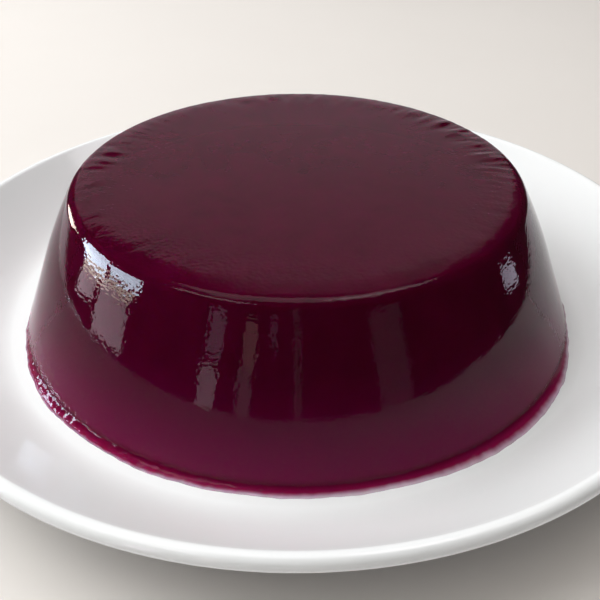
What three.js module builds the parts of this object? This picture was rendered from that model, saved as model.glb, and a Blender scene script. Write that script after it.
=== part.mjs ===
// A moulded jelly turned out on a round coupe plate.
// Millimetres, +Z up. The origin is on the table, under the middle of the plate.
import * as THREE from 'three';

// Plate: overall form
const PLATE_TURN_STEPS = 96;
const WELL_TOP = 8;
const WELL_RADIUS = 102;
const UNDERSIDE = 3;

// Plate: rounded rim, given by the middle of its section
const RIM_CENTRE_RADIUS = 132.5;
const RIM_CENTRE_HEIGHT = 24.7;
const RIM_ROUNDING = 2.5;
const INNER_FLARE_SLOPE = THREE.MathUtils.degToRad(40);
const OUTER_FLARE_SLOPE = THREE.MathUtils.degToRad(45);

// Plate: foot ring
const FOOT_RING_INNER = 82;
const FOOT_RING_OUTER = 92;
const FOOT_RING_BEVEL = 2.5;

// Jelly: body, measured from the well
const JELLY_TURN_STEPS = 120;
const WALL_BASE_RADIUS = 95.9;
const WALL_LOW_LEAN = THREE.MathUtils.degToRad(21.5);
const WALL_LOW_TOP = 25;
const WALL_TOP_TILT = THREE.MathUtils.degToRad(61);
const SHOULDER_CENTRE_RADIUS = 72.35;
const SHOULDER_ROUNDING = 4.75;
const APRON_SLOPE = THREE.MathUtils.degToRad(9);
const APRON_WIDTH = 6.6;
const JELLY_HEIGHT = 49.8;
const TOP_CROWN = 0.25;

// Jelly: thin foot that spreads on the plate
const FOOT_RADIUS = 97;
const FOOT_EDGE_HEIGHT = 0.5;
const FOOT_EDGE_BEVEL = 0.3;
const FOOT_ROOT_HEIGHT = 2.5;
const FOOT_FRONT_SPREAD = 1.9;
const FOOT_FRONT_START = 0.15;
const FOOT_FRONT_FULL = 0.6;
const FOOT_CREEP = 1.6;
const FOOT_CREEP_AZIMUTH = THREE.MathUtils.degToRad(-49);
const FOOT_CREEP_SPREAD = THREE.MathUtils.degToRad(20);
const FOOT_RIPPLES = [
  { waves: 13, height: 0.12, phase: 2.1 },
  { waves: 29, height: 0.1, phase: 4.0 },
];

// Curve steps
const FLARE_STEPS = 8;
const RIM_STEPS = 10;
const WALL_LOW_STEPS = 3;
const WALL_STEPS = 6;
const SHOULDER_STEPS = 7;
const APRON_STEPS = 4;
const TOP_STEPS = 4;
const FOOT_STEPS = 3;

const glaze = new THREE.MeshStandardMaterial({ color: 0xe8e6e3, roughness: 0.12, metalness: 0 });
const gel = new THREE.MeshStandardMaterial({ color: 0x4a0a20, roughness: 0.05, metalness: 0 });

/** Points of one curve, without its first point, which the curve before it has given. */
function along(curve, steps) {
  return curve.getPoints(steps).slice(1);
}

/** Radius at which a line of the given slope, through a point, crosses a height. */
function crossing(point, slope, height) {
  return point.x - (point.y - height) / Math.tan(slope);
}

/** Solid of revolution about Z from a section that starts and ends on the axis. */
function turned(section, steps) {
  return new THREE.LatheGeometry(section, steps).rotateX(Math.PI / 2);
}

/** Half section of the plate: foot ring, outer flare, rounded rim, inner flare and flat well. */
function plateSection() {
  const rim = new THREE.Vector2(RIM_CENTRE_RADIUS, RIM_CENTRE_HEIGHT);
  const outwardDown = new THREE.Vector2(Math.sin(OUTER_FLARE_SLOPE), -Math.cos(OUTER_FLARE_SLOPE));
  const inwardUp = new THREE.Vector2(-Math.sin(INNER_FLARE_SLOPE), Math.cos(INNER_FLARE_SLOPE));
  const lip = rim.clone().addScaledVector(outwardDown, RIM_ROUNDING);
  const crest = rim.clone().addScaledVector(inwardUp, RIM_ROUNDING);

  const footSide = new THREE.Vector2(FOOT_RING_OUTER, UNDERSIDE);
  const wellEdge = new THREE.Vector2(WELL_RADIUS, WELL_TOP);
  const outerBend = new THREE.Vector2(crossing(lip, OUTER_FLARE_SLOPE, UNDERSIDE), UNDERSIDE);
  const innerBend = new THREE.Vector2(crossing(crest, INNER_FLARE_SLOPE, WELL_TOP), WELL_TOP);

  const outerFlare = new THREE.QuadraticBezierCurve(footSide, outerBend, lip);
  const innerFlare = new THREE.QuadraticBezierCurve(crest, innerBend, wellEdge);
  const rounding = new THREE.EllipseCurve(
    rim.x,
    rim.y,
    RIM_ROUNDING,
    RIM_ROUNDING,
    outwardDown.angle() - 2 * Math.PI,
    inwardUp.angle(),
  );

  return [
    new THREE.Vector2(0, UNDERSIDE),
    new THREE.Vector2(FOOT_RING_INNER, UNDERSIDE),
    new THREE.Vector2(FOOT_RING_INNER + FOOT_RING_BEVEL, 0),
    new THREE.Vector2(FOOT_RING_OUTER - FOOT_RING_BEVEL, 0),
    footSide,
    ...along(outerFlare, FLARE_STEPS),
    ...along(rounding, RIM_STEPS),
    ...along(innerFlare, FLARE_STEPS),
    new THREE.Vector2(0, WELL_TOP),
  ];
}

/** Point where the lean of the low wall and the tilt of the wall's top meet. */
function wallCorner(low, top) {
  const lowRun = Math.tan(WALL_LOW_LEAN);
  const topRun = 1 / Math.tan(WALL_TOP_TILT);
  const rise = (top.x - low.x + topRun * (top.y - low.y)) / (topRun - lowRun);
  return new THREE.Vector2(low.x - lowRun * rise, low.y + rise);
}

/** Half section of the jelly: flat base, thin foot, leaning wall, rounded shoulder, sloping apron and top. */
function jellySection() {
  const top = WELL_TOP + JELLY_HEIGHT;
  const apronDrop = (APRON_WIDTH / 2) * Math.tan(APRON_SLOPE);
  const shoulder = new THREE.Vector2(
    SHOULDER_CENTRE_RADIUS,
    top - apronDrop - SHOULDER_ROUNDING * Math.cos(APRON_SLOPE),
  );
  const rounding = new THREE.EllipseCurve(
    shoulder.x,
    shoulder.y,
    SHOULDER_ROUNDING,
    SHOULDER_ROUNDING,
    Math.PI / 2 - WALL_TOP_TILT,
    Math.PI / 2 - APRON_SLOPE,
  );
  const wallTop = rounding.getPoint(0);
  const apronEdge = rounding.getPoint(1);

  const wallFoot = new THREE.Vector2(WALL_BASE_RADIUS, WELL_TOP + FOOT_ROOT_HEIGHT);
  const lowRise = WALL_LOW_TOP - FOOT_ROOT_HEIGHT;
  const lowWallTop = new THREE.Vector2(
    WALL_BASE_RADIUS - lowRise * Math.tan(WALL_LOW_LEAN),
    WELL_TOP + WALL_LOW_TOP,
  );
  const lowWall = new THREE.LineCurve(wallFoot, lowWallTop);
  const wall = new THREE.QuadraticBezierCurve(lowWallTop, wallCorner(lowWallTop, wallTop), wallTop);

  const topEdge = new THREE.Vector2(apronEdge.x - APRON_WIDTH, top);
  const apronBend = new THREE.Vector2(apronEdge.x - APRON_WIDTH / 2, top);
  const apron = new THREE.QuadraticBezierCurve(apronEdge, apronBend, topEdge);
  const middle = new THREE.Vector2(0, top + TOP_CROWN);
  const crownBend = new THREE.Vector2(topEdge.x / 2, top + TOP_CROWN);
  const crown = new THREE.QuadraticBezierCurve(topEdge, crownBend, middle);

  const footEdge = new THREE.Vector2(FOOT_RADIUS, WELL_TOP + FOOT_EDGE_HEIGHT);
  const footBend = new THREE.Vector2(WALL_BASE_RADIUS, WELL_TOP + FOOT_EDGE_HEIGHT);
  const footTop = new THREE.QuadraticBezierCurve(footEdge, footBend, wallFoot);

  return [
    new THREE.Vector2(0, WELL_TOP),
    new THREE.Vector2(FOOT_RADIUS - FOOT_EDGE_BEVEL, WELL_TOP),
    footEdge,
    ...along(footTop, FOOT_STEPS),
    ...along(lowWall, WALL_LOW_STEPS),
    ...along(wall, WALL_STEPS),
    ...along(rounding, SHOULDER_STEPS),
    ...along(apron, APRON_STEPS),
    ...along(crown, TOP_STEPS),
  ];
}

/** How far the foot's edge stands out from its circle at an azimuth: more in front, most at front right. */
function footOutset(azimuth) {
  const front = THREE.MathUtils.smoothstep(-Math.sin(azimuth), FOOT_FRONT_START, FOOT_FRONT_FULL);
  const away = Math.atan2(Math.sin(azimuth - FOOT_CREEP_AZIMUTH), Math.cos(azimuth - FOOT_CREEP_AZIMUTH));
  const creep = FOOT_CREEP * Math.exp(-((away / FOOT_CREEP_SPREAD) ** 2));
  const ripple = FOOT_RIPPLES.reduce(
    (sum, { waves, height, phase }) => sum + height * Math.sin(waves * azimuth + phase),
    0,
  );
  return FOOT_FRONT_SPREAD * front + creep + ripple;
}

/** Spreads the thin foot unevenly, fading out where the wall begins. */
function spreadFoot(geometry) {
  const place = geometry.getAttribute('position');
  const point = new THREE.Vector3();
  for (let i = 0; i < place.count; i += 1) {
    point.fromBufferAttribute(place, i);
    const radius = Math.hypot(point.x, point.y);
    const share = THREE.MathUtils.smoothstep(radius, WALL_BASE_RADIUS, FOOT_RADIUS - FOOT_EDGE_BEVEL);
    if (share > 0 && point.z < WELL_TOP + FOOT_ROOT_HEIGHT) {
      const scale = 1 + (share * footOutset(Math.atan2(point.y, point.x))) / radius;
      place.setXY(i, point.x * scale, point.y * scale);
    }
  }
  return geometry;
}

/** A named mesh of one sub-part. */
function piece(name, geometry, material) {
  const mesh = new THREE.Mesh(geometry, material);
  mesh.name = name;
  return mesh;
}

const platedJelly = new THREE.Group();
platedJelly.add(piece('plate', turned(plateSection(), PLATE_TURN_STEPS), glaze));
platedJelly.add(piece('jelly', spreadFoot(turned(jellySection(), JELLY_TURN_STEPS)), gel));

export default platedJelly;
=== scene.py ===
"""A moulded jelly on a coupe plate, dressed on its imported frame: fine meshes, finishes, light and camera."""

import logging
import math
from dataclasses import dataclass
from enum import Enum

import bpy
import numpy as np
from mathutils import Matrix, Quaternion, Vector, noise


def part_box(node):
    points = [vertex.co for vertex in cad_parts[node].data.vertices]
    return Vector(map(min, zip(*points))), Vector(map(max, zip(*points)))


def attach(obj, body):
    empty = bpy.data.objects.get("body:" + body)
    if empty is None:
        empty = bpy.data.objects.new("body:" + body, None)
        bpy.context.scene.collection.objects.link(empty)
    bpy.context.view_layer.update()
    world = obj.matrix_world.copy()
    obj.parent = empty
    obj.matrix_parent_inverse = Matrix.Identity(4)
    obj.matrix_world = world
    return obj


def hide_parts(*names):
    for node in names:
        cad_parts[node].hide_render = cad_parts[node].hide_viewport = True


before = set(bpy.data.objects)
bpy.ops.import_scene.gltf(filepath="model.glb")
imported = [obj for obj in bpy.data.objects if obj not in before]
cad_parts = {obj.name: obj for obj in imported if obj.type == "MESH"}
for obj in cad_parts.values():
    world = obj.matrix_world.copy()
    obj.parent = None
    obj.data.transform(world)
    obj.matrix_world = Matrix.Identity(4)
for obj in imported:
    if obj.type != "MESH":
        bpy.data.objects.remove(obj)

LOG = logging.getLogger("plated_jelly")
MM = 0.001
BODY = "root"


class Slot(Enum):
    """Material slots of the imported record."""

    GLAZE = "glaze"
    GEL = "gel"


class Role(Enum):
    """What a light panel is for: to be seen in glossy skins, or to light the bodies softly."""

    REFLECTION = "reflection"
    LIGHT = "light"


# Small tools for sections and meshes


def bent(start: tuple, bend: tuple, end: tuple, steps: int) -> np.ndarray:
    """Points of a quadratic curve.

    Args:
        start: first point, radius and height.
        bend: the curve's control point.
        end: last point.
        steps: number of spans.

    Returns:
        An array of steps + 1 points.
    """
    t = np.linspace(0.0, 1.0, steps + 1)[:, None]
    first, middle, last = (np.asarray(p, float) for p in (start, bend, end))
    return (1 - t) ** 2 * first + 2 * t * (1 - t) * middle + t**2 * last


def straight(start: tuple, end: tuple, steps: int) -> np.ndarray:
    """Evenly spaced points of a straight line, both ends included."""
    return np.linspace(np.asarray(start, float), np.asarray(end, float), steps + 1)


def joined(*stretches: np.ndarray) -> np.ndarray:
    """One section from stretches that each start where the one before ends."""
    return np.vstack([stretches[0]] + [s[1:] for s in stretches[1:]])


def smooth(value: np.ndarray, low: float, high: float) -> np.ndarray:
    """Smooth step from 0 at low to 1 at high."""
    t = np.clip((value - low) / (high - low), 0.0, 1.0)
    return t * t * (3 - 2 * t)


def bell(value: np.ndarray, middle: float, width: float) -> np.ndarray:
    """Bell curve of height 1 round middle."""
    return np.exp(-(((value - middle) / width) ** 2))


def turn_from(azimuth: np.ndarray, middle: float) -> np.ndarray:
    """Signed turn from an azimuth in degrees, wrapped to half a turn either way, in degrees."""
    return (np.degrees(azimuth) - middle + 180.0) % 360.0 - 180.0


def grain(points: np.ndarray, size: float, seed: float) -> np.ndarray:
    """Smooth noise at every point.

    Args:
        points: array whose last axis is x, y, z in metres.
        size: size of a lump in metres.
        seed: shift that sets one field apart from another.

    Returns:
        Values between about -1 and 1, in the shape of the points.
    """
    flat = points.reshape(-1, 3) / size + seed
    values = [noise.noise(p) for p in flat.tolist()]
    return np.asarray(values).reshape(points.shape[:-1])


@dataclass(frozen=True)
class Lumps:
    """Smooth unevenness of one height and size. The seed sets one field apart from another."""

    height: float
    size: float
    seed: float

    def at(self, points: np.ndarray) -> np.ndarray:
        """Height of the unevenness at every point."""
        return self.height * grain(points, self.size, self.seed)


@dataclass(frozen=True)
class Stretch:
    """A stretch of the round where a feature is strong, by its middle azimuth and its width in degrees."""

    turn: float
    width: float
    share: float

    def at(self, azimuth: np.ndarray) -> np.ndarray:
        """Share of the feature at every azimuth."""
        return self.share * bell(turn_from(azimuth, self.turn), 0.0, self.width)


def turned_object(name: str, rings: np.ndarray) -> bpy.types.Object:
    """A closed mesh from rings of points.

    Args:
        name: name of the new object.
        rings: array (ring, step, 3). The first and last ring each lie on the axis and become one point.

    Returns:
        The new object, linked to the scene and shaded smooth.
    """
    count, steps = rings.shape[:2]
    inner = rings[1:-1].reshape(-1, 3)
    points = np.vstack([rings[0, :1], inner, rings[-1, :1]])
    here = np.arange(steps)
    after = (here + 1) % steps
    faces = np.column_stack([np.zeros(steps, int), 1 + after, 1 + here]).tolist()
    for ring in range(count - 3):
        low, high = 1 + ring * steps, 1 + (ring + 1) * steps
        faces += np.column_stack([low + here, low + after, high + after, high + here]).tolist()
    last = 1 + (count - 3) * steps
    pole = np.full(steps, len(points) - 1)
    faces += np.column_stack([last + here, last + after, pole]).tolist()

    mesh = bpy.data.meshes.new(name)
    mesh.from_pydata(points.tolist(), [], faces)
    mesh.polygons.foreach_set("use_smooth", np.ones(len(mesh.polygons), bool))
    mesh.update()
    made = bpy.data.objects.new(name, mesh)
    bpy.context.scene.collection.objects.link(made)
    return made


def revolved(section: np.ndarray, steps: int) -> tuple[np.ndarray, np.ndarray, np.ndarray]:
    """Rings of a section turned about Z.

    Args:
        section: radius and height along the section, anticlockwise round the solid.
        steps: points round each ring.

    Returns:
        The points, the outward normals and the azimuths, each by ring and step.
    """
    run = np.gradient(section, axis=0)
    out = np.column_stack([run[:, 1], -run[:, 0]])
    out /= np.linalg.norm(out, axis=1, keepdims=True)
    azimuth = np.linspace(0.0, 2 * np.pi, steps, endpoint=False)
    way = np.stack([np.cos(azimuth), np.sin(azimuth)], axis=-1)

    def swept(pair: np.ndarray) -> np.ndarray:
        """Sweeps a pair of numbers for each ring round the axis.

        Args:
            pair: the part across the axis and the part along it, by ring.

        Returns:
            Points or directions by ring and step.
        """
        flat = pair[:, None, :1] * way[None]
        tall = np.broadcast_to(pair[:, None, 1:], flat.shape[:2] + (1,))
        return np.concatenate([flat, tall], axis=-1)

    return swept(section), swept(out), np.broadcast_to(azimuth, (len(section), steps))


# Finishes


class NodeBench:
    """Short hand for adding and joining nodes in one tree."""

    def __init__(self, tree: bpy.types.NodeTree) -> None:
        """Keeps the tree that the nodes go in."""
        self.tree = tree

    def add(self, kind: str, inputs: dict | None = None, **settings: object) -> bpy.types.Node:
        """A new node.

        Args:
            kind: Blender's name of the node type.
            inputs: socket name or number to a plain value or to the output that feeds it.
            settings: attributes of the node itself.

        Returns:
            The node.
        """
        node = self.tree.nodes.new(kind)
        for key, value in settings.items():
            setattr(node, key, value)
        for key, value in (inputs or {}).items():
            if isinstance(value, bpy.types.NodeSocket):
                self.tree.links.new(value, node.inputs[key])
            else:
                node.inputs[key].default_value = value
        return node

    def math(self, operation: str, first: object, second: object = 0.0) -> bpy.types.NodeSocket:
        """The output of a Math node."""
        return self.add("ShaderNodeMath", {0: first, 1: second}, operation=operation).outputs[0]

    def mixed(self, factor: object, first: object, second: object) -> bpy.types.NodeSocket:
        """The output of a colour mix from first, at factor 0, to second."""
        node = self.add("ShaderNodeMix", {"Factor": factor, "A": first, "B": second}, data_type="RGBA")
        return node.outputs["Result"]


def new_material(name: str) -> tuple[bpy.types.Material, NodeBench, bpy.types.Node]:
    """An empty node material.

    Args:
        name: name of the new material.

    Returns:
        The material, its bench and its output node.
    """
    material = bpy.data.materials.new(name)
    material.use_nodes = True
    material.node_tree.nodes.clear()
    bench = NodeBench(material.node_tree)
    return material, bench, bench.add("ShaderNodeOutputMaterial")


class RippleGroup:
    """Shader group of a surface that set from a liquid: soft swells with fine, level ripples on them."""

    NAME = "set_ripple"
    SWELL_SHARE = 0.35
    SWELL_DETAIL = 2.0
    RIPPLE_DETAIL = 0.3
    FLATTENED = (1.0, 1.0, 1.4)

    @classmethod
    def tree(cls) -> bpy.types.NodeTree:
        """The shared group, made on the first call.

        Returns:
            A group with inputs Swell Scale and Ripple Scale, in lumps per metre, and outputs Height and Mask.
        """
        known = bpy.data.node_groups.get(cls.NAME)
        if known is not None:
            return known
        group = bpy.data.node_groups.new(cls.NAME, "ShaderNodeTree")
        for name in ("Swell Scale", "Ripple Scale"):
            group.interface.new_socket(name, in_out="INPUT", socket_type="NodeSocketFloat")
        for name in ("Height", "Mask"):
            group.interface.new_socket(name, in_out="OUTPUT", socket_type="NodeSocketFloat")
        bench = NodeBench(group)
        given = bench.add("NodeGroupInput")
        place = bench.add("ShaderNodeTexCoord").outputs["Object"]
        swell = bench.add(
            "ShaderNodeTexNoise",
            {"Vector": place, "Scale": given.outputs["Swell Scale"], "Detail": cls.SWELL_DETAIL},
        ).outputs["Fac"]
        level = bench.add("ShaderNodeVectorMath", {0: place, 1: cls.FLATTENED}, operation="MULTIPLY")
        ripple = bench.add(
            "ShaderNodeTexNoise",
            {
                "Vector": level.outputs["Vector"],
                "Scale": given.outputs["Ripple Scale"],
                "Detail": cls.RIPPLE_DETAIL,
            },
        ).outputs["Fac"]
        height = bench.add(
            "ShaderNodeMix", {"Factor": cls.SWELL_SHARE, "A": ripple, "B": swell}, data_type="FLOAT"
        ).outputs["Result"]
        bench.add("NodeGroupOutput", {"Height": height, "Mask": swell})
        return group

    @classmethod
    def placed(cls, bench: NodeBench, swell: float, ripple: float) -> bpy.types.Node:
        """The group in one material, with that material's own lumps per metre."""
        return bench.add(
            "ShaderNodeGroup", {"Swell Scale": swell, "Ripple Scale": ripple}, node_tree=cls.tree()
        )


@dataclass(frozen=True)
class GelFinish:
    """Translucent gel with a wet skin: deep purple, with painted light from the plate near its base, painted
    shade where the wall meets the foot, and painted light through the foot, pale where thin.
    """

    base_height: float
    deep: tuple = (0.085, 0.0005, 0.0165, 1.0)
    bright: tuple = (0.150, 0.0010, 0.0340, 1.0)
    # painted light from the plate: the lighter colour of the lower body, fading out over the height below
    painted_plate_light: tuple = (0.272, 0.0018, 0.0880, 1.0)
    painted_plate_light_height: float = 34.0 * MM
    # painted shade: a darker band just above the thin foot, where the wall meets the foot
    painted_crease_shade: tuple = (0.190, 0.0012, 0.0460, 1.0)
    # painted light: the plate's white showing through the thin foot, pale magenta
    thin: tuple = (0.300, 0.0090, 0.0820, 1.0)
    # painted light: the plate's white showing through the lip, near white at the very foot
    edge: tuple = (0.96, 0.60, 0.76, 1.0)
    crease_height: float = 1.9 * MM
    thin_height: float = 0.75 * MM
    edge_height: float = 0.66 * MM
    jagged: float = 1.0 * MM
    clearness: float = 0.60
    refraction: float = 1.22
    skin_roughness: tuple = (0.012, 0.035)
    glow_reach: tuple = (1.0, 0.25, 0.45)
    glow_scale: float = 5.0 * MM
    absorbed: tuple = (0.668, 0.0, 0.38, 1.0)
    absorption_density: float = 500.0
    swell_scale: float = 110.0
    ripple_scale: float = 860.0
    ripple_height: float = 0.042 * MM
    calm_radius: float = 40.0 * MM
    lively_radius: float = 64.0 * MM
    calm_share: float = 0.10
    top_height: float = 49.0 * MM
    top_rise: float = 2.0 * MM
    top_share: float = 2.0
    crinkle_height: float = 5.0 * MM
    crinkle_share: float = 3.0
    crinkle_side: tuple = (-55.0 * MM, -20.0 * MM)
    crinkle_rest: float = 0.25

    @staticmethod
    def ramp(bench: NodeBench, value: object, start: tuple, end: tuple) -> bpy.types.NodeSocket:
        """A smooth ramp.

        Args:
            bench: bench of the material.
            value: the output that drives the ramp.
            start: driving value and result where the ramp starts.
            end: driving value and result where it ends.

        Returns:
            The ramp's output.
        """
        inputs = {
            "Value": value,
            "From Min": start[0],
            "From Max": end[0],
            "To Min": start[1],
            "To Max": end[1],
        }
        return bench.add("ShaderNodeMapRange", inputs, interpolation_type="SMOOTHSTEP").outputs["Result"]

    def ripple_share(self, bench: NodeBench, place: bpy.types.NodeSocket) -> bpy.types.NodeSocket:
        """How strongly the skin ripples: little in the middle of the top, most low down on the left.

        Args:
            bench: bench of the material.
            place: the object coordinates.

        Returns:
            The factor of the ripple's height.
        """
        part = bench.add("ShaderNodeSeparateXYZ", {0: place}).outputs
        across = bench.math("MULTIPLY", part["X"], part["X"])
        along = bench.math("MULTIPLY", part["Y"], part["Y"])
        radius = bench.math("SQRT", bench.math("ADD", across, along))
        lively = self.ramp(bench, radius, (self.calm_radius, self.calm_share), (self.lively_radius, 1.0))
        top_end = self.base_height + self.top_height
        on_top = self.ramp(bench, part["Z"], (top_end - self.top_rise, 1.0), (top_end, self.top_share))
        lively = bench.math("MULTIPLY", lively, on_top)
        crinkle_start = self.base_height + 0.5 * self.crinkle_height
        crinkle_end = self.base_height + self.crinkle_height
        low = self.ramp(bench, part["Z"], (crinkle_start, self.crinkle_share), (crinkle_end, 0.0))
        side_start, side_end = self.crinkle_side
        left = self.ramp(bench, part["X"], (side_start, 1.0), (side_end, self.crinkle_rest))
        return bench.math("ADD", lively, bench.math("MULTIPLY", low, left))

    def body_colour(
        self, bench: NodeBench, place: bpy.types.NodeSocket, mask: bpy.types.NodeSocket
    ) -> bpy.types.NodeSocket:
        """Colour of the body with light and shade painted in: painted light from the plate, lighter towards
        it; painted shade where the wall meets the foot; painted light through the foot, magenta and then pale
        where it thins out.

        Args:
            bench: bench of the material.
            place: the object coordinates.
            mask: slow variation over the surface.

        Returns:
            The colour output.
        """
        height = bench.add("ShaderNodeSeparateXYZ", {0: place}).outputs["Z"]
        base = self.base_height
        sway = bench.math("MULTIPLY", bench.math("SUBTRACT", mask, 0.5), self.jagged)
        uneven = bench.math("ADD", height, sway)
        colour = bench.mixed(mask, self.deep, self.bright)
        # painted light from the plate, strongest at the base
        low = self.ramp(bench, height, (base, 1.0), (base + self.painted_plate_light_height, 0.0))
        colour = bench.mixed(low, colour, self.painted_plate_light)
        # painted shade: a darker band where the wall meets the foot, with an uneven top
        crease_shade_start, crease_shade_end = base + self.crease_height, base + 2 * self.crease_height
        root = self.ramp(bench, uneven, (crease_shade_start, 1.0), (crease_shade_end, 0.0))
        colour = bench.mixed(root, colour, self.painted_crease_shade)
        # painted light through the thin foot, pale magenta
        thin = self.ramp(bench, height, (base + self.thin_height, 1.0), (base + self.crease_height, 0.0))
        colour = bench.mixed(thin, colour, self.thin)
        # painted light through the lip, near white at the very foot
        edge = self.ramp(bench, height, (base, 1.0), (base + self.edge_height, 0.0))
        return bench.mixed(edge, colour, self.edge)

    def material(self) -> bpy.types.Material:
        """Builds the node material.

        Returns:
            The material, ready to put on a mesh.
        """
        material, bench, output = new_material("gel")
        place = bench.add("ShaderNodeTexCoord").outputs["Object"]
        ripple = RippleGroup.placed(bench, self.swell_scale, self.ripple_scale)
        height = bench.math("MULTIPLY", ripple.outputs["Height"], self.ripple_share(bench, place))
        bump = bench.add(
            "ShaderNodeBump", {"Strength": 1.0, "Distance": self.ripple_height, "Height": height}
        )
        low, high = self.skin_roughness
        skin = bench.add(
            "ShaderNodeMapRange", {"Value": ripple.outputs["Mask"], "To Min": low, "To Max": high}
        )
        shader = bench.add(
            "ShaderNodeBsdfPrincipled",
            {
                "Base Color": self.body_colour(bench, place, ripple.outputs["Mask"]),
                "Roughness": skin.outputs["Result"],
                "IOR": self.refraction,
                "Transmission Weight": self.clearness,
                "Subsurface Weight": 1.0,
                "Subsurface Radius": self.glow_reach,
                "Subsurface Scale": self.glow_scale,
                "Normal": bump.outputs["Normal"],
            },
        )
        depth = bench.add(
            "ShaderNodeVolumeAbsorption", {"Color": self.absorbed, "Density": self.absorption_density}
        )
        bench.tree.links.new(shader.outputs["BSDF"], output.inputs["Surface"])
        bench.tree.links.new(depth.outputs["Volume"], output.inputs["Volume"])
        return material


@dataclass(frozen=True)
class GlazeFinish:
    """White glaze over stoneware, with a bare ring where the foot stands."""

    glaze: tuple = (0.800, 0.828, 0.838, 1.0)
    pooled: tuple = (0.776, 0.806, 0.818, 1.0)
    bare: tuple = (0.62, 0.58, 0.53, 1.0)
    glaze_roughness: float = 0.10
    bare_roughness: float = 0.75
    bare_below: float = 0.7 * MM
    refraction: float = 1.5
    swell_scale: float = 28.0
    ripple_scale: float = 240.0
    ripple_height: float = 0.012 * MM

    def material(self) -> bpy.types.Material:
        """Builds the node material.

        Returns:
            The material, ready to put on a mesh.
        """
        material, bench, output = new_material("glaze")
        ripple = RippleGroup.placed(bench, self.swell_scale, self.ripple_scale)
        place = bench.add("ShaderNodeTexCoord").outputs["Object"]
        height = bench.add("ShaderNodeSeparateXYZ", {0: place}).outputs["Z"]
        bare = bench.math("LESS_THAN", height, self.bare_below)
        coat = bench.mixed(ripple.outputs["Mask"], self.glaze, self.pooled)
        rough = bench.add(
            "ShaderNodeMapRange",
            {"Value": bare, "To Min": self.glaze_roughness, "To Max": self.bare_roughness},
        )
        bump = bench.add(
            "ShaderNodeBump",
            {"Strength": 1.0, "Distance": self.ripple_height, "Height": ripple.outputs["Height"]},
        )
        shader = bench.add(
            "ShaderNodeBsdfPrincipled",
            {
                "Base Color": bench.mixed(bare, coat, self.bare),
                "Roughness": rough.outputs["Result"],
                "IOR": self.refraction,
                "Normal": bump.outputs["Normal"],
            },
        )
        bench.tree.links.new(shader.outputs["BSDF"], output.inputs["Surface"])
        return material


@dataclass(frozen=True)
class FloorFinish:
    """Plain pale floor."""

    pale: tuple = (0.65, 0.63, 0.605, 1.0)
    paler: tuple = (0.68, 0.66, 0.635, 1.0)
    roughness: float = 0.6
    swell_scale: float = 9.0

    def material(self) -> bpy.types.Material:
        """Builds the node material.

        Returns:
            The material, ready to put on a mesh.
        """
        material, bench, output = new_material("floor")
        place = bench.add("ShaderNodeTexCoord").outputs["Object"]
        cloud = bench.add("ShaderNodeTexNoise", {"Vector": place, "Scale": self.swell_scale}).outputs["Fac"]
        shader = bench.add(
            "ShaderNodeBsdfPrincipled",
            {
                "Base Color": bench.mixed(cloud, self.pale, self.paler),
                "Roughness": self.roughness,
                "Specular IOR Level": 0.0,
            },
        )
        bench.tree.links.new(shader.outputs["BSDF"], output.inputs["Surface"])
        return material


# The two pieces


@dataclass
class Plate:
    """Round coupe plate: foot ring, flared outside, thick rounded rim, flared inside and flat well."""

    well_top: float
    finish: GlazeFinish
    well_radius: float = 102.0 * MM
    underside: float = 3.0 * MM
    rim_centre_radius: float = 132.5 * MM
    rim_centre_height: float = 24.7 * MM
    rim_rounding: float = 2.5 * MM
    inner_slope: float = math.radians(40.0)
    outer_slope: float = math.radians(45.0)
    foot_inner: float = 82.0 * MM
    foot_outer: float = 92.0 * MM
    foot_bevel: float = 2.5 * MM
    sway: Lumps = Lumps(0.10 * MM, 90.0 * MM, 3.7)
    turn_steps: int = 288
    under_steps: int = 12
    bevel_steps: int = 3
    flare_steps: int = 26
    rim_steps: int = 24
    well_steps: int = 14

    def section(self) -> np.ndarray:
        """Half section, from the underside's middle round the rim to the well's middle.

        Returns:
            Radius and height along the section.
        """
        rim = np.array([self.rim_centre_radius, self.rim_centre_height])
        lip = rim + self.rim_rounding * np.array([math.sin(self.outer_slope), -math.cos(self.outer_slope)])
        crest = rim + self.rim_rounding * np.array([-math.sin(self.inner_slope), math.cos(self.inner_slope)])
        outer_bend = (lip[0] - (lip[1] - self.underside) / math.tan(self.outer_slope), self.underside)
        inner_bend = (crest[0] - (crest[1] - self.well_top) / math.tan(self.inner_slope), self.well_top)
        turn_start = self.outer_slope - math.pi / 2
        turn = np.linspace(turn_start, self.inner_slope + math.pi / 2, self.rim_steps + 1)
        rounding = rim + self.rim_rounding * np.column_stack([np.cos(turn), np.sin(turn)])
        foot_low_in = (self.foot_inner + self.foot_bevel, 0.0)
        foot_low_out = (self.foot_outer - self.foot_bevel, 0.0)
        foot_in = (self.foot_inner, self.underside)
        foot_out = (self.foot_outer, self.underside)
        well_edge = (self.well_radius, self.well_top)
        return joined(
            straight((0.0, self.underside), foot_in, self.under_steps),
            straight(foot_in, foot_low_in, self.bevel_steps),
            straight(foot_low_in, foot_low_out, self.bevel_steps),
            straight(foot_low_out, foot_out, self.bevel_steps),
            bent(foot_out, outer_bend, lip, self.flare_steps),
            rounding,
            bent(crest, inner_bend, well_edge, self.flare_steps),
            straight(well_edge, (0.0, self.well_top), self.well_steps),
        )

    def build(self) -> bpy.types.Object:
        """The plate as one mesh, riding on the body, with the imported plate hidden.

        Returns:
            The plate's object.
        """
        points, _, _ = revolved(self.section(), self.turn_steps)
        reach = np.hypot(points[..., 0], points[..., 1])
        flare = smooth(reach, self.well_radius, self.rim_centre_radius)
        points[..., 2] += flare * self.sway.at(points)
        made = turned_object("plate_body", points)
        made.data.materials.append(self.finish.material())
        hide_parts("plate")
        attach(made, BODY)
        return made


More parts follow.
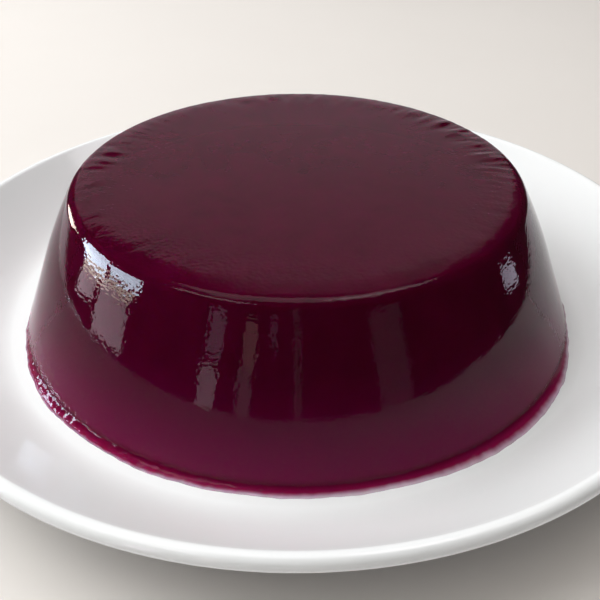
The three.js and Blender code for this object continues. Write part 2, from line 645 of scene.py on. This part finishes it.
@dataclass
class Jelly:
    """Low round jelly: thin crinkled foot, bowed leaning wall, soft shoulder and near-flat top."""

    well_top: float
    finish: GelFinish
    wall_base_radius: float = 95.9 * MM
    wall_low_lean: float = math.radians(21.5)
    wall_low_top: float = 25.0 * MM
    wall_top_tilt: float = math.radians(61.0)
    shoulder_centre_radius: float = 72.35 * MM
    shoulder_rounding: float = 4.75 * MM
    apron_slope: float = math.radians(9.0)
    apron_width: float = 6.6 * MM
    height: float = 49.8 * MM
    top_crown: float = 0.25 * MM
    foot_radius: float = 97.0 * MM
    foot_lip: float = 0.45 * MM
    foot_root: float = 2.5 * MM
    sunk: float = 0.05 * MM
    crinkle_top: float = 6.5 * MM
    calm_margin: float = 11.0 * MM
    foot_front_spread: float = 1.9 * MM
    foot_front_range: tuple = (0.15, 0.6)
    foot_creep: Stretch = Stretch(-49.0, 20.0, 1.6 * MM)
    foot_waves: tuple = ((13, 0.12 * MM, 2.1), (29, 0.10 * MM, 4.0))
    foot_jitter: Lumps = Lumps(0.30 * MM, 3.4 * MM, 11.3)
    foot_fill: Stretch = Stretch(-145.0, 34.0, 0.46)
    foot_fill_least: float = 0.42
    lip_full: Stretch = Stretch(-142.0, 36.0, 0.75)
    lip_least: float = 0.25
    skin_range: tuple = (1.25 * MM, 4.0 * MM)
    sway: Lumps = Lumps(0.10 * MM, 34.0 * MM, 1.9)
    swell: Lumps = Lumps(0.010 * MM, 6.5 * MM, 7.1)
    ripple: Lumps = Lumps(0.006 * MM, 2.4 * MM, 4.4)
    ripple_least: float = 0.35
    ripple_range: tuple = (45.0 * MM, 70.0 * MM)
    crinkle_coarse: Lumps = Lumps(0.30 * MM, 1.9 * MM, 15.2)
    crinkle_fine: Lumps = Lumps(0.22 * MM, 1.4 * MM, 9.6)
    crinkle_side: Stretch = Stretch(-134.0, 26.0, 0.60)
    crinkle_least: float = 0.40
    crinkle_rise: tuple = (0.1 * MM, 0.7 * MM)
    crinkle_fall: tuple = (2.6 * MM, 4.8 * MM)
    pucker_height: float = 0.62 * MM
    pucker_radius: float = 68.0 * MM
    pucker_width: float = 5.5 * MM
    pucker_below_top: tuple = (2.6 * MM, 0.9 * MM)
    pucker_stretches: tuple = (
        Stretch(26.0, 28.0, 1.0),
        Stretch(98.0, 26.0, 0.7),
        Stretch(165.0, 18.0, 0.6),
    )
    pucker_least: float = 0.12
    pucker_slant: float = 220.0 * MM
    pucker_coarse: Lumps = Lumps(0.6, 0.072, 5.5)
    pucker_fine: Lumps = Lumps(0.7, 0.042, 8.1)
    turn_steps: int = 800
    base_steps: int = 2
    lip_steps: int = 4
    flange_steps: int = 9
    low_wall_steps: int = 9
    mid_wall_steps: int = 15
    high_wall_steps: int = 28
    shoulder_steps: int = 22
    apron_steps: int = 12
    edge_steps: int = 10
    top_steps: int = 8

    def section(self) -> np.ndarray:
        """Half section, from the base's middle over the foot, wall and shoulder to the top's middle.

        Returns:
            Radius and height along the section.
        """
        low = self.well_top - self.sunk
        top = self.well_top + self.height
        lip_top = self.well_top + self.foot_lip
        lip_edge = (self.foot_radius, self.well_top)
        lip_inner = (self.foot_radius - self.foot_lip, lip_top)
        wall_foot = (self.wall_base_radius, self.well_top + self.foot_root)
        wall_mid = self.on_low_wall(self.wall_low_top)
        wall_low = self.on_low_wall(self.crinkle_top)

        drop = self.apron_width / 2 * math.tan(self.apron_slope)
        centre = np.array(
            [self.shoulder_centre_radius, top - drop - self.shoulder_rounding * math.cos(self.apron_slope)]
        )
        turn_start = math.pi / 2 - self.wall_top_tilt
        turn = np.linspace(turn_start, math.pi / 2 - self.apron_slope, self.shoulder_steps + 1)
        rounding = centre + self.shoulder_rounding * np.column_stack([np.cos(turn), np.sin(turn)])
        wall_top, apron_edge = rounding[0], rounding[-1]
        low_run, top_run = math.tan(self.wall_low_lean), 1 / math.tan(self.wall_top_tilt)
        rise = (wall_top[0] - wall_mid[0] + top_run * (wall_top[1] - wall_mid[1])) / (top_run - low_run)
        wall_bend = (wall_mid[0] - low_run * rise, wall_mid[1] + rise)
        top_edge = (apron_edge[0] - self.apron_width, top)
        calm_edge = (top_edge[0] - self.calm_margin, top)
        crown = top + self.top_crown
        return joined(
            straight((0.0, low), (self.foot_radius, low), self.base_steps),
            straight((self.foot_radius, low), lip_edge, 1),
            bent(lip_edge, (self.foot_radius, lip_top), lip_inner, self.lip_steps),
            bent(lip_inner, (self.wall_base_radius, lip_top), wall_foot, self.flange_steps),
            straight(wall_foot, wall_low, self.low_wall_steps),
            straight(wall_low, wall_mid, self.mid_wall_steps),
            bent(wall_mid, wall_bend, wall_top, self.high_wall_steps),
            rounding,
            bent(apron_edge, (apron_edge[0] - self.apron_width / 2, top), top_edge, self.apron_steps),
            straight(top_edge, calm_edge, self.edge_steps),
            bent(calm_edge, (calm_edge[0] / 2, crown), (0.0, crown), self.top_steps),
        )

    def on_low_wall(self, tall: float) -> tuple[float, float]:
        """Radius and height of a point on the straight low wall, by its height over the well."""
        run = (tall - self.foot_root) * math.tan(self.wall_low_lean)
        return self.wall_base_radius - run, self.well_top + tall

    def foot_outset(self, azimuth: np.ndarray, points: np.ndarray) -> np.ndarray:
        """How far the thin foot creeps out past its circle.

        Args:
            azimuth: azimuth of each point.
            points: the points themselves.

        Returns:
            Outset in metres.
        """
        front = self.foot_front_spread * smooth(-np.sin(azimuth), *self.foot_front_range)
        waves = sum(height * np.sin(count * azimuth + phase) for count, height, phase in self.foot_waves)
        return front + self.foot_creep.at(azimuth) + waves + self.foot_jitter.at(points)

    def flange_fill(self, reach: np.ndarray, tall: np.ndarray, azimuth: np.ndarray) -> np.ndarray:
        """How far the hollow between lip and wall is filled up, most at the left.

        Args:
            reach: distance of each point from the axis.
            tall: height of each point over the well.
            azimuth: azimuth of each point.

        Returns:
            Upward height in metres.
        """
        lip_inner = self.foot_radius - self.foot_lip
        inward = np.clip((lip_inner - reach) / (lip_inner - self.wall_base_radius), 0.0, 1.0)
        ramp = self.foot_lip + (self.foot_root - self.foot_lip) * inward
        on_flange = (tall >= self.foot_lip) & (tall < self.foot_root) & (reach > self.wall_base_radius)
        filled = self.foot_fill_least + self.foot_fill.at(azimuth)
        return np.where(on_flange, filled * np.maximum(ramp - tall, 0.0), 0.0)

    def lip_drop(self, tall: np.ndarray, azimuth: np.ndarray) -> np.ndarray:
        """How far the lip is thinned, everywhere but at the left.

        Args:
            tall: height of each point over the well.
            azimuth: azimuth of each point.

        Returns:
            Downward height in metres.
        """
        kept = self.lip_least + self.lip_full.at(azimuth)
        on_lip = 1 - smooth(tall, self.foot_lip, 2 * self.foot_lip)
        return np.maximum(tall, 0.0) * on_lip * (1 - kept)

    def relief(self, points: np.ndarray, azimuth: np.ndarray) -> np.ndarray:
        """Height of the skin's unevenness over the plain form.

        Args:
            points: points of the plain form.
            azimuth: azimuth of each point.

        Returns:
            Outward height in metres.
        """
        reach = np.hypot(points[..., 0], points[..., 1])
        tall = points[..., 2] - self.well_top
        above_foot = smooth(tall, *self.skin_range)
        lively = self.ripple_least + (1 - self.ripple_least) * smooth(reach, *self.ripple_range)
        skin = self.sway.at(points) + lively * (self.swell.at(points) + self.ripple.at(points))

        crinkle = self.crinkle_coarse.at(points) + self.crinkle_fine.at(points)
        on_foot = smooth(tall, *self.crinkle_rise) * (1 - smooth(tall, *self.crinkle_fall))
        left = self.crinkle_least + self.crinkle_side.at(azimuth)
        return above_foot * skin + on_foot * left * crinkle + self.puckers(reach, tall, azimuth)

    def puckers(self, reach: np.ndarray, tall: np.ndarray, azimuth: np.ndarray) -> np.ndarray:
        """Short radial puckers on the top, just inside the shoulder, of uneven size and spacing.

        Args:
            reach: distance of each point from the axis.
            tall: height of each point over the well.
            azimuth: azimuth of each point.

        Returns:
            Outward height in metres.
        """
        start, full = (self.height - below for below in self.pucker_below_top)
        inside = bell(reach, self.pucker_radius, self.pucker_width) * smooth(tall, start, full)
        where = sum(stretch.at(azimuth) for stretch in self.pucker_stretches) + self.pucker_least
        round_the_edge = np.stack([np.cos(azimuth), np.sin(azimuth), reach / self.pucker_slant], axis=-1)
        folds = self.pucker_coarse.at(round_the_edge) + self.pucker_fine.at(round_the_edge)
        return self.pucker_height * inside * where * folds

    def build(self) -> bpy.types.Object:
        """The jelly as one mesh, riding on the body, with the imported jelly hidden.

        Returns:
            The jelly's object.
        """
        points, normals, azimuth = revolved(self.section(), self.turn_steps)
        reach = np.hypot(points[..., 0], points[..., 1])
        tall = points[..., 2] - self.well_top
        raised = normals * self.relief(points, azimuth)[..., None]
        points[..., 2] += self.flange_fill(reach, tall, azimuth)
        lip_inner = self.foot_radius - self.foot_lip
        on_foot = smooth(reach, self.wall_base_radius, lip_inner) * (tall < self.foot_root)
        spread = 1 + on_foot * self.foot_outset(azimuth, points) / np.maximum(reach, MM)
        points = points + raised
        points[..., :2] *= spread[..., None]
        points[..., 2] -= self.lip_drop(tall, azimuth)
        made = turned_object("jelly_body", points)
        made.data.materials.append(self.finish.material())
        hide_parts("jelly")
        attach(made, BODY)
        return made


# Light, floor and camera


@dataclass(frozen=True)
class Panel:
    """A soft light panel that faces the jelly, placed and sized in degrees as the jelly sees it."""

    WATTS_PER_RADIANCE = 4.0

    name: str
    azimuth: float
    elevation: float
    wide: float
    tall: float
    radiance: float
    tint: tuple = (1.0, 1.0, 1.0)
    roll: float = 0.0
    role: Role = Role.REFLECTION
    distance: float = 1.6

    def build(self, aim: Vector) -> bpy.types.Object:
        """The panel as an area light.

        Args:
            aim: the point that it faces.

        Returns:
            The light's object.
        """
        turn, rise = math.radians(self.azimuth), math.radians(self.elevation)
        way = Vector((math.cos(turn) * math.cos(rise), math.sin(turn) * math.cos(rise), math.sin(rise)))
        lamp = bpy.data.lights.new(self.name, "AREA")
        lamp.shape = "RECTANGLE"
        lamp.size = 2 * self.distance * math.tan(math.radians(self.wide / 2))
        lamp.size_y = 2 * self.distance * math.tan(math.radians(self.tall / 2))
        lamp.color = self.tint
        lamp.energy = self.WATTS_PER_RADIANCE * self.radiance * lamp.size * lamp.size_y
        made = bpy.data.objects.new(self.name, lamp)
        made.location = aim + way * self.distance
        roll = Quaternion((0.0, 0.0, 1.0), math.radians(self.roll))
        made.rotation_euler = (way.to_track_quat("Z", "Y") @ roll).to_euler()
        made.visible_camera = False
        made.visible_glossy = self.role is Role.REFLECTION
        made.visible_diffuse = self.role is Role.LIGHT
        bpy.context.scene.collection.objects.link(made)
        return made


@dataclass(frozen=True)
class Surround:
    """What the skins mirror all round: bright behind the object up to a low edge, dim on the viewer's side.

    Heights are the upward part of a direction. Sides are its part to the right over its part to the back.
    """

    dim: tuple = (0.030, 0.024, 0.025, 1.0)
    low_back: tuple = (0.60, 0.56, 0.59, 1.0)
    high_back: tuple = (0.48, 0.42, 0.44, 1.0)
    below: tuple = (1.00, 0.96, 1.00, 1.0)
    backdrop: tuple = (0.70, 0.69, 0.67, 1.0)
    least_back: float = 0.05
    high_back_side: tuple = (-0.26, -0.06)
    low_back_end: tuple = (0.550, 0.570)
    low_back_tilt: float = -0.10
    high_back_end: tuple = (0.74, 0.80)
    left_end: tuple = (-0.56, -0.50)
    right_end: tuple = (0.38, 0.46)
    below_end: tuple = (-0.20, -0.18)

    def world(self) -> bpy.types.World:
        """Builds the surround, with a plain backdrop where the camera sees it.

        Returns:
            The world.
        """
        world = bpy.data.worlds.new("surround")
        world.use_nodes = True
        world.node_tree.nodes.clear()
        bench = NodeBench(world.node_tree)
        way = bench.add("ShaderNodeSeparateXYZ", {0: bench.add("ShaderNodeTexCoord").outputs["Generated"]})
        up = way.outputs["Z"]

        def rise(value: bpy.types.NodeSocket, ends: tuple) -> bpy.types.NodeSocket:
            """A smooth step from 0 at the first end to 1 at the second."""
            inputs = {"Value": value, "From Min": ends[0], "From Max": ends[1]}
            return bench.add("ShaderNodeMapRange", inputs, interpolation_type="SMOOTHSTEP").outputs["Result"]

        back = bench.math("MAXIMUM", way.outputs["Y"], self.least_back)
        side = bench.math("DIVIDE", way.outputs["X"], back)
        upper = bench.mixed(rise(side, self.high_back_side), self.dim, self.high_back)
        tilted = bench.math("ADD", up, bench.math("MULTIPLY", side, self.low_back_tilt))
        colour = bench.mixed(rise(tilted, self.low_back_end), self.low_back, upper)
        colour = bench.mixed(rise(up, self.high_back_end), colour, self.dim)
        colour = bench.mixed(rise(side, self.left_end), self.dim, colour)
        colour = bench.mixed(rise(side, self.right_end), colour, self.dim)
        colour = bench.mixed(rise(up, self.below_end), self.below, colour)
        seen = bench.add("ShaderNodeLightPath").outputs["Is Camera Ray"]
        colour = bench.mixed(seen, colour, self.backdrop)
        light = bench.add("ShaderNodeBackground", {"Color": colour, "Strength": 1.0})
        bench.add("ShaderNodeOutputWorld", {"Surface": light.outputs["Background"]})
        return world


@dataclass
class Studio:
    """Pale floor, soft light panels, the surround and the camera, which aims just under the well."""

    well_top: float
    surround: Surround = Surround()
    aim_aside: float = 0.96 * MM
    aim_drop: float = 2.75 * MM
    elevation: float = 34.94
    distance: float = 309.5 * MM
    lens: float = 49.7
    sensor: float = 36.0
    nearest: float = 10.0 * MM
    floor_half: float = 2.5

    @property
    def aim(self) -> Vector:
        """The point that the camera and the panels face."""
        return Vector((self.aim_aside, 0.0, self.well_top - self.aim_drop))

    def panels(self) -> list[Panel]:
        """The light panels: bright ones on the left, wide ones overhead, faint strips and three lights.

        Returns:
            The panels, in the order that they are built.
        """
        sky = (0.70, 0.83, 1.0)
        warm = (1.0, 0.86, 0.74)
        mild = (1.0, 0.93, 0.96)
        mauve = (1.0, 0.82, 0.93)
        return [
            Panel("window_near", 188.3, 17.0, 18.0, 17.0, 28.0, sky, roll=17.0),
            Panel("window_far", 167.2, 15.0, 19.0, 27.0, 28.0, sky, roll=17.0),
            Panel("window_side", 143.0, 5.0, 12.0, 14.0, 13.0, warm, roll=-25.0),
            Panel("window_low", 181.5, 4.6, 34.0, 1.6, 11.0, warm, roll=17.0),
            Panel("pane_near", 189.0, 0.6, 17.5, 10.5, 4.6, mauve, roll=10.0),
            Panel("pane_far", 171.0, -1.7, 12.5, 4.0, 4.4, mauve, roll=19.0),
            Panel("door_right", 12.0, -1.4, 10.0, 3.8, 4.0, (0.84, 0.80, 1.0), roll=-22.0),
            Panel("strip_a_low", 236.0, 1.0, 6.5, 14.0, 3.2, mauve),
            Panel("strip_a_high", 236.4, 15.0, 6.5, 10.0, 1.8, (1.0, 0.75, 1.0)),
            Panel("strip_b_low", 250.0, 3.0, 5.5, 12.0, 1.1, mauve),
            Panel("strip_b_high", 251.0, 14.5, 5.0, 11.0, 2.0, (1.0, 0.6, 0.55)),
            Panel("strip_c", 260.5, 18.0, 2.2, 6.0, 0.9, (1.0, 0.7, 1.0)),
            Panel("strip_d", 307.5, 8.0, 13.0, 24.0, 0.48, mauve),
            Panel("ceiling", 90.0, 82.0, 44.0, 36.0, 1.6, mild),
            Panel("ceiling_left", 216.0, 57.0, 30.0, 8.0, 3.6, mild),
            Panel("ceiling_right", 20.0, 70.0, 14.0, 26.0, 2.6, mild),
            Panel("key", 165.0, 47.0, 50.0, 50.0, 3.15, role=Role.LIGHT, distance=1.15),
            Panel("front", 245.0, 35.0, 60.0, 40.0, 0.45, (1.0, 0.96, 0.92), role=Role.LIGHT),
            Panel("fill", 160.0, 78.0, 80.0, 80.0, 0.90, (1.0, 0.96, 0.92), role=Role.LIGHT),
        ]

    def build_floor(self) -> bpy.types.Object:
        """The floor plane, which is stage and stays out of the glossy reflections.

        Returns:
            The floor's object.
        """
        half = self.floor_half
        corners = [(-half, -half, 0.0), (half, -half, 0.0), (half, half, 0.0), (-half, half, 0.0)]
        mesh = bpy.data.meshes.new("floor")
        mesh.from_pydata(corners, [], [(0, 1, 2, 3)])
        made = bpy.data.objects.new("floor", mesh)
        made.data.materials.append(FloorFinish().material())
        made.visible_glossy = False
        bpy.context.scene.collection.objects.link(made)
        return made

    def build_camera(self) -> bpy.types.Object:
        """The camera, at the photograph's angle, set on the scene.

        Returns:
            The camera's object.
        """
        rise = math.radians(self.elevation)
        back = Vector((0.0, -math.cos(rise), math.sin(rise)))
        lens = bpy.data.cameras.new("camera")
        lens.lens = self.lens
        lens.sensor_width = self.sensor
        lens.clip_start = self.nearest
        made = bpy.data.objects.new("camera", lens)
        made.location = self.aim + back * self.distance
        made.rotation_euler = back.to_track_quat("Z", "Y").to_euler()
        bpy.context.scene.collection.objects.link(made)
        bpy.context.scene.camera = made
        return made

    def build(self) -> None:
        """Makes floor, surround, panels and camera, and a plain view transform."""
        self.build_floor()
        bpy.context.scene.world = self.surround.world()
        for panel in self.panels():
            panel.build(self.aim)
        self.build_camera()
        bpy.context.scene.view_settings.view_transform = "Standard"


def main() -> None:
    """Builds the pieces and the studio in order and reports each one."""
    logging.basicConfig(level=logging.INFO, format="%(name)s: %(message)s")
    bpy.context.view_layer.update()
    well_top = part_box("jelly")[0][2]
    for maker in (Plate(well_top, GlazeFinish()), Jelly(well_top, GelFinish(well_top))):
        made = maker.build()
        LOG.info("%s: %d faces", made.name, len(made.data.polygons))
    Studio(well_top).build()


if __name__ == "__main__":
    main()
